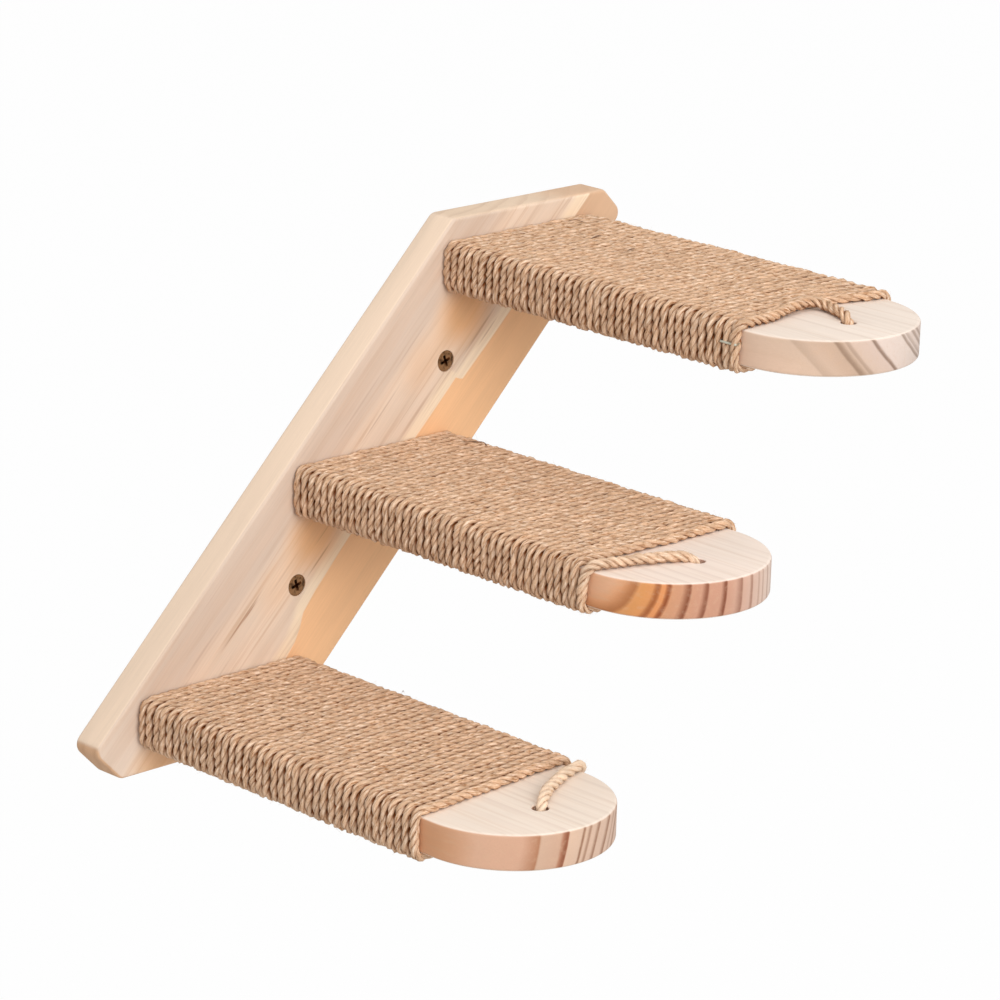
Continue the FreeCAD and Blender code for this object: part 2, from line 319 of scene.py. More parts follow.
# Painted light: the left side face, turned up towards the light, is painted lighter than the front
left_side = times(
    tree, ranged(tree, facing(tree, over_plank), 0.78, 0.98), ranged(tree, across, -44.0, -48.0))
colour = mixed(tree, left_side, colour, plank_lit_side)
resin = 0.0
resin_across = strayed(tree, across, fibre["Tone"], 3.0)
for measures in plank_resin_streaks:
    resin = maths(tree, "MAXIMUM", resin, streak_at(tree, along, resin_across, measures))
resin = times(tree, resin, ranged(tree, fibre["Fine"], 0.2, 0.7, 0.6, 1.0))
colour = mixed(tree, resin, colour, plank_resin)
end_colour = mixed(tree, ranged(tree, along, -20.0, 20.0), plank_low_end, plank_top_end)
end_colour = mixed(tree, times(tree, ring_line, 0.14), end_colour, plank_resin)
end_colour = mixed(tree, ranged(tree, across, -8.0, 14.0, 0.0, 0.7), end_colour, heartwood)
end_share = ranged(tree, facing(tree, up_plank), 0.25, 0.65)
colour = shaded(
    tree, mixed(tree, end_share, colour, end_colour),
    ranged(tree, fibre["Tone"], 0.3, 0.7, 0.955, 1.03),
    ranged(tree, fibre["Fine"], 0.25, 0.75, 0.95, 1.03))
finish_pine(tree, shader, colour, fibre["Fine"], end_share)


def plank_point(along, across, out):
    """A point of the plank from its place along, its place across to the right, and its
    height over the wall face, in the frame."""
    x = along * math.cos(plank_lean) + across * math.sin(plank_lean)
    z = along * math.sin(plank_lean) - across * math.cos(plank_lean)
    return Vector((x, -out, z)) / 1000


def plank_place(along, right=0.0, out=0.0):
    """A place on the plank's middle line, or level with it to the right."""
    return Matrix.Translation(plank_point(along, 0, out) + Vector((right / 1000, 0, 0)))


def skin(rings, sides, first=0):
    """Faces round rings of points that follow each other, and one over each end. They look
    outwards where each ring runs counter-clockwise as seen from the ring before it."""
    faces = []
    last = first + (rings - 1) * sides
    for near in range(first, last, sides):
        for side in range(sides):
            after = (side + 1) % sides
            faces.append((near + side, near + sides + side, near + sides + after, near + after))
    return faces + [tuple(range(first, first + sides)), tuple(reversed(range(last, last + sides)))]


def plain_mesh(name, points, faces, smooth=False):
    """A mesh from points in millimetres. Where it is smooth, its end faces stay flat."""
    mesh = bpy.data.meshes.new(name)
    mesh.from_pydata([point / 1000 for point in points], [], faces)
    if smooth:
        mesh.polygons.foreach_set("use_smooth", [len(face) == 4 for face in faces])
    return mesh


def ringed(name, rings):
    """A closed mesh from rings of as many points each, in millimetres."""
    points = [point for ring in rings for point in ring]
    return plain_mesh(name, points, skin(len(rings), len(rings[0])))


def ring_at(height, radii):
    """A ring of points round the Z axis, each with its own radius."""
    ring = []
    for side, radius in enumerate(radii):
        angle = math.tau * side / len(radii)
        ring.append(Vector((radius * math.cos(angle), radius * math.sin(angle), height)))
    return ring


def turned(name, outline, sides=48):
    """A closed form of revolution, from radii and heights that run down from its top."""
    return ringed(name, [ring_at(height, [radius] * sides) for radius, height in outline])


def rounded_rim(corners, radius, steps=6):
    """Points and outward directions round a convex outline, counter-clockwise."""
    rim = []
    for index, corner in enumerate(corners):
        before = (corners[index - 1] - corner).normalized()
        after = (corners[(index + 1) % len(corners)] - corner).normalized()
        half_angle = before.angle(after) / 2
        centre = corner + (before + after).normalized() * radius / math.sin(half_angle)
        first = Vector((-before.y, before.x))
        if first.dot(after) > 0:
            first = -first
        turn = math.pi - 2 * half_angle
        for step in range(steps + 1):
            out = Matrix.Rotation(turn * step / steps, 2) @ first
            rim.append((centre + out * radius, out))
    return rim


def eased_slab(name, rim, low, high, ease, steps=5):
    """A slab between two heights, whose rims are rounded over."""
    levels = []
    for step in range(steps + 1):
        swing = math.pi / 2 * step / steps
        levels.append((ease * (1 - math.sin(swing)), high - ease * (1 - math.cos(swing))))
    levels += [(inset, low + high - height) for inset, height in reversed(levels)]
    return ringed(name, [
        [(place - out * inset).to_3d() + Vector((0, 0, height)) for place, out in rim]
        for inset, height in levels])


def put(mesh, matrix=Matrix.Identity(4)):
    """An object for a mesh, in its place."""
    piece = bpy.data.objects.new(mesh.name, mesh)
    bpy.context.scene.collection.objects.link(piece)
    piece.matrix_world = matrix
    return piece


def cut_away(piece, cutters):
    """Cuts each cutter out of a piece, and leaves plain meshes."""
    for cutter in cutters:
        change = piece.modifiers.new("cut", "BOOLEAN")
        change.operation = "DIFFERENCE"
        change.solver = "EXACT"
        change.object = cutter
    bpy.context.view_layer.update()
    plain = bpy.data.meshes.new_from_object(
        piece.evaluated_get(bpy.context.evaluated_depsgraph_get()))
    plain.name = piece.name
    piece.modifiers.clear()
    piece.data = plain
    for cutter in cutters:
        bpy.data.objects.remove(cutter)


def finish_piece(piece, material, sharp_degrees, flat_axis=None):
    """Gives a piece its material. It is smooth but for its sharp edges and, where an axis
    is given, its planed faces across that axis."""
    mesh = piece.data
    mesh.materials.clear()
    mesh.materials.append(material)
    for face in mesh.polygons:
        face.use_smooth = flat_axis is None or abs(face.normal[flat_axis]) < 0.999
        face.material_index = 0
    mesh.set_sharp_from_angle(angle=math.radians(sharp_degrees))


def plank_end(level, heel_across, tip_across, edge_across):
    """One end's corners to the right and up: a level cut from heel to tip, then a square cut."""
    heel_along, tip_along = [
        (level + across * math.cos(plank_lean)) / math.sin(plank_lean)
        for across in (heel_across, tip_across)]
    corners = ((heel_along, heel_across), (tip_along, tip_across), (tip_along, edge_across))
    return [plank_point(*corner, 0).xz * 1000 for corner in corners]


lower_end = plank_end(
    -plank_height_below, plank_width_right, plank_lower_tip_cut - plank_width_left,
    -plank_width_left)
upper_end = plank_end(
    plank_height_above, -plank_width_left, plank_width_right - plank_upper_tip_cut,
    plank_width_right)
plank_corners = list(reversed(lower_end + upper_end))
out_of_wall = Matrix.Rotation(math.pi / 2, 4, "X")
plank_mesh = eased_slab(
    "pine_plank", rounded_rim(plank_corners, plank_corner_radius), 0, plank_thickness,
    plank_edge_ease)
plank_mesh.transform(out_of_wall)
plank = put(plank_mesh)
past_front = plank_thickness + cut_overrun
seat_mouth = wall_screw_head_radius + seat_room
seat_start = plank_thickness - screw_sink - seat_wall
cutters = []
for along in wall_screw_places.values():
    seat = turned("seat", [
        (seat_mouth, past_front), (seat_mouth, seat_start),
        (wall_screw_bore_radius, seat_start - seat_mouth + wall_screw_bore_radius),
        (wall_screw_bore_radius, -cut_overrun)])
    cutters.append(put(seat, plank_place(along) @ out_of_wall))
for along in step_places.values():
    for right in step_screw_sides.values():
        seat = turned("seat", [
            (step_screw_bore_radius, past_front), (step_screw_bore_radius, counterbore_depth),
            (counterbore_radius, counterbore_depth), (counterbore_radius, -cut_overrun)], 32)
        cutters.append(put(seat, plank_place(along, right) @ out_of_wall))
cut_away(plank, cutters)
finish_piece(plank, plank_pine, 35, flat_axis=1)
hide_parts("back_plank")
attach(plank, "root")

# Step boards
# Three identical boards of planed pine, 100 by 18 mm, with half-round noses that show their
# growth rings on end. They are butted against the plank and screwed on from behind. Each
# nose has a hole that holds the start of the rope.
board_width = 100.0
board_thickness = 18.0
board_straight = 205.0
board_edge_ease = 1.5
tail_hole_reach = 225.0
tail_hole_radius = 4.0
tail_hole_lip = 0.4
pilot_depth = 46.1
nose_steps = 48
rings_per_ramp = 7

# For each board: where the tree's pith lay from the board's middle, how its rings fan, its
# face colour, and its nose colours by the place across the board at mid-height, which hold
# the end grain's darker tone and painted shade as well, and its dark rings as that place,
# the width of the soft side and the darkness.
board_wood = {
    "lower": {
        "pith": (-120.0, 20.0), "fan": (-0.008, -17.0), "wander": 1.6,
        "face": (243, 229, 214),
        "nose": [(-50, (206, 152, 114)), (-44, (212, 168, 140)), (-31, (204, 160, 134)),
                 (-24.6, (186, 134, 102)), (-24.0, (200, 166, 142)), (-15.0, (196, 158, 134)),
                 (-13.8, (188, 134, 106)), (-11.3, (184, 126, 98)), (-10.8, (210, 178, 154)),
                 (2, (208, 176, 154)), (36, (210, 182, 164))],
        "ring_tint": (0.40, 0.27, 0.20, 1.0),
        "rings": [(-24.3, 7.0, 0.3), (-11.3, 3.8, 0.85), (-2.2, 1.6, 0.95), (1.8, 2.2, 0.7),
                  (7.8, 3.0, 0.85), (16.6, 3.6, 0.9), (21.8, 2.2, 0.4), (27.0, 3.2, 0.75),
                  (37.5, 3.0, 0.95)],
    },
    "middle": {
        "pith": (-95.0, 8.0), "fan": (0.003, -8.0), "wander": 1.2,
        "face": (245, 230, 217),
        "nose": [(-50, (224, 172, 136)), (-48.0, (218, 156, 112)), (-44, (212, 148, 92)),
                 (-37, (214, 142, 92)), (-34.5, (198, 144, 110)), (-24, (195, 144, 118)),
                 (-10, (195, 146, 122)), (0, (204, 164, 144)), (18, (216, 190, 174)),
                 (36, (226, 208, 196))],
        "ring_tint": (0.32, 0.15, 0.08, 1.0),
        "rings": [(-45.2, 3.2, 0.55), (-39.0, 2.2, 0.75), (-35.5, 2.0, 0.9), (-27.8, 3.6, 0.9),
                  (-20.0, 3.2, 0.85), (-10.4, 3.2, 0.95), (-0.6, 4.5, 0.65), (7.0, 2.4, 0.6),
                  (13.2, 1.6, 0.35), (17.5, 1.6, 0.4), (23.5, 2.0, 0.5), (30.0, 2.0, 0.5),
                  (36.0, 2.2, 0.6)],
    },
    "upper": {
        "pith": (70.0, 68.0), "fan": (0.0, 0.0), "wander": 1.6,
        "face": (242, 227, 213),
        "nose": [(-50, (222, 190, 166)), (-40, (208, 180, 158)), (-30, (196, 166, 144)),
                 (-24, (192, 164, 142)), (-18, (208, 182, 164)), (-8, (208, 184, 170)),
                 (-4, (218, 198, 186)), (12, (220, 202, 190)), (36, (212, 192, 180))],
        "ring_tint": (0.36, 0.29, 0.24, 1.0),
        "rings": [(-40.0, 4.0, 0.25), (-26.2, 4.0, 0.65), (-21.6, 2.0, 0.4), (-7.9, 2.2, 0.95),
                  (13.5, 3.0, 0.75), (17.6, 2.4, 0.45), (24.5, 2.4, 0.65), (31.0, 2.0, 0.6)],
    },
}
board_streak = seen_colour(206, 172, 142)
board_stagger = 7.0


def board_pine(step):
    """Pine for one board, from its rings and colours."""
    wood = board_wood[step]
    pith_across, pith_depth = wood["pith"]
    material, tree, shader = new_material("board_pine_" + step)
    places = {
        "Along": maths(
            tree, "ADD", millimetres_along(tree, (0, -1, 0)), step_places[step] * board_stagger),
        "Across": millimetres_along(tree, (1, 0, 0)),
        "Depth": millimetres_along(tree, (0, 0, 1))}
    end_share = ranged(tree, facing(tree, (0, 0, 1)), 0.85, 0.35)
    fibre = place_group(tree, pine_fibre, places)
    ring_place = place_group(tree, growth_rings, {
        **places, "Pith Across": pith_across, "Pith Depth": pith_depth,
        "Wander": wood["wander"], "Fan": wood["fan"][0],
        "Fan Start": wood["fan"][1]})["Ring Place"]
    radii = [math.hypot(place - pith_across, pith_depth) for place in (-50, 50)]
    nearest = min(radii) - 15.0
    span = max(radii) + 15.0 - nearest
    ring_share = maths(tree, "DIVIDE", maths(tree, "SUBTRACT", ring_place, nearest), span)

    def share_at(place):
        return (math.hypot(place - pith_across, pith_depth) - nearest) / span

    # A ring darkens slowly over its soft side and ends sharply. A ramp holds seven of them
    rings = sorted(wood["rings"], key=lambda ring: share_at(ring[0]))
    ring_line = 0.0
    for first in range(0, len(rings), rings_per_ramp):
        stops = []
        for place, soft, darkness in rings[first:first + rings_per_ramp]:
            sharp = share_at(place)
            start = sharp - soft / span
            if stops and start <= stops[-1][0]:
                start = stops[-1][0] + 0.001
            stops.append((start, (0, 0, 0, 1)))
            for before, dark in ((1.3, darkness * 0.8), (0.3, darkness), (-0.4, 0.0)):
                if sharp - before / span > start:
                    stops.append((sharp - before / span, (dark, dark, dark, 1)))
        ring_line = maths(tree, "MAXIMUM", ring_line, ramp(tree, ring_share, stops))
    # The nose colours darken the end grain further with painted shade, as its sides face away from
    # the light
    end_colour = ramp(tree, ring_share, sorted(
        (share_at(place), seen_colour(*paint)) for place, paint in wood["nose"]))
    face_colour = mixed(tree, 0.12, seen_colour(*wood["face"]), end_colour)
    colour = mixed(tree, end_share, face_colour, end_colour)
    line_share = times(tree, ring_line, ranged(tree, end_share, 0.0, 1.0, 0.14, 1.0))
    tint = mixed(tree, line_share, (1.0, 1.0, 1.0, 1.0), wood["ring_tint"])
    colour = mixed(tree, 1.0, colour, tint, "MULTIPLY")
    colour = mixed(tree, times(tree, fibre["Streak"], 0.2), colour, board_streak)
    colour = shaded(
        tree, colour, ranged(tree, fibre["Tone"], 0.3, 0.7, 0.98, 1.02),
        ranged(tree, fibre["Fine"], 0.25, 0.75, 0.97, 1.02))
    finish_pine(tree, shader, colour, fibre["Fine"], end_share)
    return material


def board_place(step, right=0.0):
    """The middle of a board's end on the plank, or a place to the right of it."""
    return plank_place(step_places[step], right, plank_thickness)


def board_rim():
    """The board's outline, with its nose towards -Y, counter-clockwise from above."""
    half = board_width / 2
    rim = [(Vector((half, 0)), Vector((1, 0))), (Vector((-half, 0)), Vector((-1, 0)))]
    for step in range(nose_steps + 1):
        swing = math.pi + math.pi * step / nose_steps
        out = Vector((math.cos(swing), math.sin(swing)))
        rim.append((Vector((0, -board_straight)) + out * half, out))
    return rim


from_behind = Matrix.Rotation(-math.pi / 2, 4, "X")
board_top = board_thickness / 2
for step in step_places:
    board = put(
        eased_slab("pine_board_" + step, board_rim(), -board_top, board_top, board_edge_ease),
        board_place(step))
    mouth = tail_hole_radius + tail_hole_lip + cut_overrun
    hole = turned("hole", [
        (mouth, board_top + cut_overrun), (tail_hole_radius, board_top - tail_hole_lip),
        (tail_hole_radius, tail_hole_lip - board_top), (mouth, -board_top - cut_overrun)])
    to_hole = Matrix.Translation((0, -tail_hole_reach / 1000, 0))
    cutters = [put(hole, board_place(step) @ to_hole)]
    for right in step_screw_sides.values():
        pilot = turned("pilot", [
            (step_screw_bore_radius, cut_overrun), (step_screw_bore_radius, -pilot_depth)], 24)
        cutters.append(put(pilot, board_place(step, right) @ from_behind))
    cut_away(board, cutters)
    finish_piece(board, board_pine(step), 35, flat_axis=2)
    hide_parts("step_board_" + step)
    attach(board, "root")

# Jute ropes
# Each rope is one length of three-strand jute, laid right-handed and 5 mm thick. It is
# wound round its board from the plank to the nose, crosses the nose and is pushed into the
# hole there. Its other end is tucked under the first turns, below the board.
rope_strands = 3
strand_circle = 1.24
strand_radial = 1.27
strand_tangential = 1.46
strand_sides = 6
lay_length = 18.5
ring_spacing = 2.0
rope_stand_off = 2.4
rope_side = board_width / 2 + rope_stand_off
rope_top = board_top + rope_stand_off
rope_bend = 4.6
bend_parts = 4
run_parts = 16
first_reach = 2.9
tuck_right = 6.0
tuck_length = 32.0
tuck_lift = 3.6
first_top_share = 0.1

# Each rope's last side, 1 for the right, its turns, how much of a turn's advance lies on
# the top, the reach of its last edge, how pale its tail has worn, and the tail's places:
# to the right, outwards from the plank, and up
rope_routes = {
    "lower": {
        "side": 1, "turns": 39, "top_share": 1.2, "edge_reach": 195.7, "bleach": 0.7,
        "tail": [
            (52.6, 197.0, 4.0), (51.8, 199.8, 9.2), (48.6, 202.2, 11.9), (44.0, 203.4, 12.0),
            (38.8, 204.6, 12.0), (33.4, 206.6, 12.0), (27.8, 209.0, 12.0), (18.4, 213.4, 12.0),
            (12.6, 216.8, 12.0), (6.6, 220.9, 11.9), (1.8, 224.2, 9.8), (0.2, 225.3, 4.5),
            (0.0, 225.3, -3.0), (0.0, 225.3, -8.4)],
    },
    "middle": {
        "side": -1, "turns": 40, "top_share": 0.5, "edge_reach": 201.0, "bleach": 0.25,
        "tail": [
            (-52.4, 202.0, 5.0), (-51.0, 203.6, 9.9), (-47.0, 205.6, 11.9),
            (-41.0, 207.8, 12.0), (-34.0, 210.2, 12.0), (-27.0, 212.8, 12.0),
            (-20.0, 215.4, 12.0), (-13.0, 218.0, 11.9), (-7.0, 221.2, 11.6),
            (-2.4, 223.8, 9.8), (-0.2, 225.2, 4.6), (0.0, 225.2, -3.0), (0.0, 225.2, -8.4)],
    },
    "upper": {
        "side": -1, "turns": 39, "top_share": 0.05, "edge_reach": 199.5, "bleach": 0.0,
        "tail": [
            (-52.4, 200.0, 5.0), (-51.0, 200.8, 9.9), (-46.5, 201.4, 11.6),
            (-36.0, 201.4, 11.6), (-24.0, 200.2, 11.9), (-13.0, 198.0, 12.8),
            (-4.0, 196.8, 13.4), (2.6, 197.6, 13.3), (6.8, 201.0, 12.6), (7.0, 206.6, 12.1),
            (4.8, 213.8, 12.0), (1.8, 220.6, 11.7), (0.3, 224.8, 7.8), (0.0, 225.3, 0.0),
            (0.0, 225.3, -8.4)],
    },
}
tail_looseness = 0.22
pushed_step = "upper"
pushed_turns = {38: 9.0, 37: 7.4, 36: 5.9, 35: 4.5, 34: 3.2, 33: 2.0, 32: 1.0}


def smooth_line(points, per_span=6):
    """A smooth line through given points."""
    padded = [points[0] * 2 - points[1]] + points + [points[-1] * 2 - points[-2]]
    line = []
    for before, start, end, after in zip(padded, padded[1:], padded[2:], padded[3:]):
        for step in range(per_span):
            t = step / per_span
            line.append(0.5 * (
                start * 2 + (end - before) * t
                + (before * 2 - start * 5 + end * 4 - after) * t * t
                + (start * 3 - before - end * 3 + after) * t * t * t))
    return line + [points[-1]]


def evenly_spaced(line, spacing):
    """Points at even distances along a line."""
    even = [line[0]]
    left = spacing
    for start, end in zip(line, line[1:]):
        length = (end - start).length
        gone = 0.0
        while length - gone >= left:
            gone += left
            even.append(start.lerp(end, gone / length))
            left = spacing
        left -= length - gone
    return even


def rings_along(line):
    """How many rings of points a line's length holds."""
    return int(sum((end - start).length for start, end in zip(line, line[1:])) / ring_spacing)


def heading(line, index):
    """The direction in which a line runs at one of its points."""
    return (line[min(index + 1, len(line) - 1)] - line[max(index - 1, 0)]).normalized()


def soft_step(value):
    value = min(max(value, 0.0), 1.0)
    return value * value * (3 - 2 * value)


def turn_offset(step, turn, right, rise, reach):
    """How far a place on a turn strays along the board: all turns sway together a little,
    each strays a little by itself, and the last ones of one rope are pushed forward."""
    sway = noise.noise(Vector((right / 35, rise / 35, reach / 45 + step_places[step]))) * 0.7
    stray = noise.noise(Vector((right / 18, rise / 18, turn * 3.7 + step_places[step]))) * 0.85
    push = 0.0
    if step == pushed_step and turn in pushed_turns:
        push = pushed_turns[turn] * soft_step((right - 8) / 42)
    return (sway + stray) * min(1.0, reach / 12) + push


def rope_line(step):
    """The rope's middle line on its board: to the right, outwards from the plank, and up.
    With it come the numbers of the points where its last turn and its tail start."""
    route = rope_routes[step]
    side = route["side"]
    turns = route["turns"]
    pitch = (route["edge_reach"] - first_reach) / turns
    run = rope_side - rope_bend
    start_right = -side * tuck_right
    line = smooth_line([
        Vector((start_right, tuck_length, -rope_top + 0.3)),
        Vector((start_right, tuck_length / 2, -rope_top + 0.3)),
        Vector((start_right * 0.9, first_reach + 3, -rope_top + 0.1))])
    for edge in range(4 * turns + 1):
        turn, quarter = divmod(edge, 4)
        if edge == 4 * (turns - 1):
            last_turn = rings_along(line)
        outward = -1 if quarter in (0, 3) else 1
        sideways = 1 if quarter in (0, 1) else -1
        reach = first_reach + turn * pitch
        top_share = first_top_share + (route["top_share"] - first_top_share) * turn / turns
        across_top = pitch * top_share
        edge_reach = reach + (across_top if quarter > 1 else 0.0)
        for part in range(bend_parts + 1):
            swing = math.radians((quarter - 1 + part / bend_parts) * 90)
            right = side * (sideways * run + rope_bend * math.cos(swing))
            rise = outward * (rope_top - rope_bend) + rope_bend * math.sin(swing)
            stray = turn_offset(step, turn, right, rise, reach)
            line.append(Vector((right, edge_reach + stray, rise)))
        if quarter in (0, 2):
            continue
        next_reach = reach + (across_top if quarter == 1 else pitch)
        rise = outward * rope_top
        for part in range(1, run_parts):
            share = part / run_parts
            right = side * sideways * run * (1 - 2 * share)
            along = edge_reach + (next_reach - edge_reach) * share
            along += turn_offset(step, turn, right, rise, reach)
            lift = 0.0
            if quarter == 3:
                lift = tuck_lift * math.exp(-((right - start_right) / 6.5) ** 2)
                lift *= soft_step((tuck_length + 4 - along) / 6)
            line.append(Vector((right, along, rise - lift)))
    tail_start = rings_along(line)
    line += smooth_line([line[-1]] + [Vector(point) for point in route["tail"]])[1:]
    return evenly_spaced(line, ring_spacing), last_turn, tail_start


def carried_frames(line):
    """Directions across a line that turn with it and never twist round it."""
    frames = []
    across = Vector((0, 0, 1))
    for index, point in enumerate(line):
        ahead = heading(line, index)
        across = (across - ahead * across.dot(ahead)).normalized()
        frames.append((point, across.copy(), ahead.cross(across)))
    return frames


def away_from_board(point):
    """The direction from the board to a place on the rope's middle line."""
    side = rope_side - rope_bend
    top = rope_top - rope_bend
    inside = Vector((min(max(point.x, -side), side), point.y, min(max(point.z, -top), top)))
    return (point - inside).normalized()


def laid_rope(name, frames, last_turn, tail_start, bleach, seed):
    """Three strands twisted round a line, looser in the tail. Its UVs hold the places along
    and round each strand, its crown says how far a point lies out of the gaps, for the
    painted shade there, and its bleach how pale the tail has worn."""
    points = []
    faces = []
    places = []
    crowns = []
    bleached = []
    turns = [0.0]
    for index in range(len(frames) - 1):
        change = noise.noise(Vector((index * 0.06, seed, 0.0))) * 0.6
        turns.append(turns[-1] + math.tau * ring_spacing / (lay_length * (1 + change)))
    for strand in range(rope_strands):
        faces += skin(len(frames), strand_sides, len(points))
        for index, (place, across, sideways) in enumerate(frames):
            lead = turns[index] + math.tau * strand / rope_strands
            out = across * math.cos(lead) + sideways * math.sin(lead)
            round_way = sideways * math.cos(lead) - across * math.sin(lead)
            swell = 1 + noise.noise(Vector((index * 0.27, strand * 9.1, seed))) * 0.4
            fade = 0.72 if index in (0, len(frames) - 1) else 1.0
            loose = soft_step((index - tail_start) / 6) * soft_step((len(frames) - 4 - index) / 8)
            centre = place + out * strand_circle * fade * (1 + tail_looseness * loose)
            away = away_from_board(place)
            for side in range(strand_sides):
                angle = math.tau * (side + 0.5) / strand_sides
                rough = 1 + noise.noise(Vector((index * 0.9, side * 2.3 + strand * 17, seed))) * 0.3
                size = swell * fade * rough * (1 + 0.1 * loose)
                point = (centre - out * math.cos(angle) * strand_radial * size
                         + round_way * math.sin(angle) * strand_tangential * size)
                points.append(point)
                from_middle = (point - place).normalized()
                crown = from_middle.dot(away)
                # The tail and the last turn's flank towards the nose get less painted shade
                if index > tail_start:
                    crown = 1 + min(0.0, crown)
                elif index > last_turn:
                    crown = max(crown, -from_middle.y)
                crowns.append(crown)
                bleached.append(bleach * soft_step((index - tail_start) / 8))
        for index in range(len(frames) - 1):
            start = strand * 5.0 + index * ring_spacing / 1000
            end = start + ring_spacing / 1000
            for side in range(strand_sides):
                low = (side + 0.5) / strand_sides
                high = (side + 1.5) / strand_sides
                places += [start, low, end, low, end, high, start, high]
        places += [strand * 5.0, 0.0] * (2 * strand_sides)
    mesh = plain_mesh(name, points, faces, smooth=True)
    mesh.uv_layers.new(name="strand_place").data.foreach_set("uv", places)
    for measure, values in (("crown", crowns), ("bleach", bleached)):
        mesh.attributes.new(measure, "FLOAT", "POINT").data.foreach_set("value", values)
    return mesh


jute_bright = seen_colour(242, 215, 190)
jute_middle = seen_colour(214, 177, 145)
jute_dark = seen_colour(164, 114, 74)
jute_painted_shade = seen_colour(128, 70, 30)
jute_bleached = seen_colour(244, 220, 194)

jute, tree, shader = new_material("jute")
strand_place = add_node(tree, "ShaderNodeUVMap", uv_map="strand_place").outputs[0]
split = add_node(tree, "ShaderNodeSeparateXYZ", {0: strand_place}).outputs
along = times(tree, split[0], 1000.0)
twisted = maths(tree, "SUBTRACT", split[1], times(tree, along, 0.062))
fibres = stretched_noise(tree, (along, twisted), (0.2, 9.0), 4.0, 0.7)
lumps = stretched_noise(tree, (along, twisted), (0.11, 2.2), 2.0)
long_tone = stretched_noise(tree, (along,), (0.011,), 2.0)
crown, bleach = [
    add_node(tree, "ShaderNodeAttribute", attribute_name=name).outputs["Fac"]
    for name in ("crown", "bleach")]
# Painted shade: the strands darken in the grooves between them and in the gaps between the turns
groove = maths(tree, "COSINE", times(tree, split[1], math.tau))
groove_shade_share = ranged(tree, groove, -0.25, 0.5, 0.0, 0.4)
gap_shade_share = times(
    tree, ranged(tree, crown, 0.8, 0.25), ranged(tree, groove, -1.0, 0.1, 0.55, 1.0))
colour = ramp(tree, fibres, [
    (0.36, jute_dark), (0.46, jute_middle), (0.53, jute_middle), (0.62, jute_bright)])
colour = mixed(tree, maths(tree, "MAXIMUM", groove_shade_share, gap_shade_share), colour, jute_painted_shade)
colour = mixed(tree, bleach, colour, jute_bleached)
colour = shaded(
    tree, colour, ranged(tree, lumps, 0.3, 0.7, 0.86, 1.08),
    ranged(tree, long_tone, 0.3, 0.7, 0.93, 1.06))
feed(tree, shader, {
    "Base Color": colour, "Roughness": ranged(tree, fibres, 0.2, 0.8, 0.95, 0.72),
    "Normal": relief(tree, fibres, 0.7, 0.0004), "Specular IOR Level": 0.06,
    "Sheen Weight": 0.05, "Sheen Roughness": 0.6, "Sheen Tint": seen_colour(238, 200, 158)})


def speckle(tree, scale, detail=2.0):
    """Noise that lies fast in a piece, by its scale in metres."""
    return add_node(tree, "ShaderNodeTexNoise", {
        "Vector": add_node(tree, "ShaderNodeTexCoord").outputs["Object"], "Scale": scale,
        "Detail": detail}).outputs["Fac"]


def bast(name, scale, dark, light, roughness):
    """Dull plant fibre, speckled from a dark colour to a light one."""
    material, tree, shader = new_material(name)
    feed(tree, shader, {
        "Base Color": ramp(tree, speckle(tree, scale), [(0.35, dark), (0.65, light)]),
        "Roughness": roughness, "Specular IOR Level": 0.3})
    return material


# The rope's loose fibres: short hairs that stand off it
hair_count = 3000
hair_radius = 0.05
hair_steps = 4
hair_root = 2.25
hair_lengths = (1.5, 5.5)
hair_lift = 2.2
hair_lean = 0.6
rope_start_points = 20
rope_end_points = 12
tail_hair_every = 12
tail_points = 30
jute_hair = bast("jute_hair", 90.0, seen_colour(186, 142, 102), seen_colour(232, 200, 164), 0.7)


def loose_fibres(name, frames, seed):
    """Closed, three-sided hairs that leave the rope at a low angle and curl away."""
    chance = random.Random(seed)
    points = []
    faces = []
    for hair in range(hair_count):
        index = chance.randrange(rope_start_points, len(frames) - rope_end_points)
        if hair % tail_hair_every == 0:
            index = len(frames) - rope_end_points - chance.randrange(tail_points)
        place, across, sideways = frames[index]
        ahead = across.cross(sideways)
        angle = chance.uniform(0, math.tau)
        out = across * math.cos(angle) + sideways * math.sin(angle)
        flank = ahead.cross(out)
        length = chance.uniform(*hair_lengths)
        lift = chance.uniform(0.1, 0.5) ** 1.5 * hair_lift
        lean = chance.uniform(-hair_lean, hair_lean)
        way = chance.choice((-1, 1))
        faces += skin(hair_steps + 1, 3, len(points))
        for step in range(hair_steps + 1):
            share = step / hair_steps
            centre = (place + out * (hair_root + lift * share * share * length / 2)
                      + ahead * way * length * share + flank * lean * length * share * share)
            size = hair_radius * (1 - 0.6 * share)
            for corner in range(3):
                swing = -way * math.tau * corner / 3
                points.append(centre + (out * math.cos(swing) + flank * math.sin(swing)) * size)
    return plain_mesh(name, points, faces)


# The jute's husks: dark slivers of bark that lie on the windings. Each has its places on
# its board, its width and how far it stands off in its middle.
husk_places = {
    "lower": [([(-19.4, 66.6), (-17.2, 67.2)], 1.3, 0.4), ([(48.6, 79.0), (50.0, 80.2)], 0.9, 2.0),
              ([(-2.6, 175.6), (-0.4, 176.2)], 1.1, 0.3)],
    "middle": [([(39.5, 21.0), (45.8, 27.0), (48.2, 30.8), (45.4, 36.6)], 0.9, 0.4)],
    "upper": [([(8.8, 42.8), (19.5, 40.7)], 1.4, 0.5), ([(5.3, 71.9), (12.7, 70.8)], 1.1, 0.3),
              ([(25.0, 8.0), (30.4, 10.3), (30.4, 15.6), (32.1, 18.8)], 0.7, 0.9),
              ([(-4.4, 28.0), (-1.8, 27.4)], 0.8, 0.3)],
}
husk_rise = rope_top + 2.2
husk_sides = 6
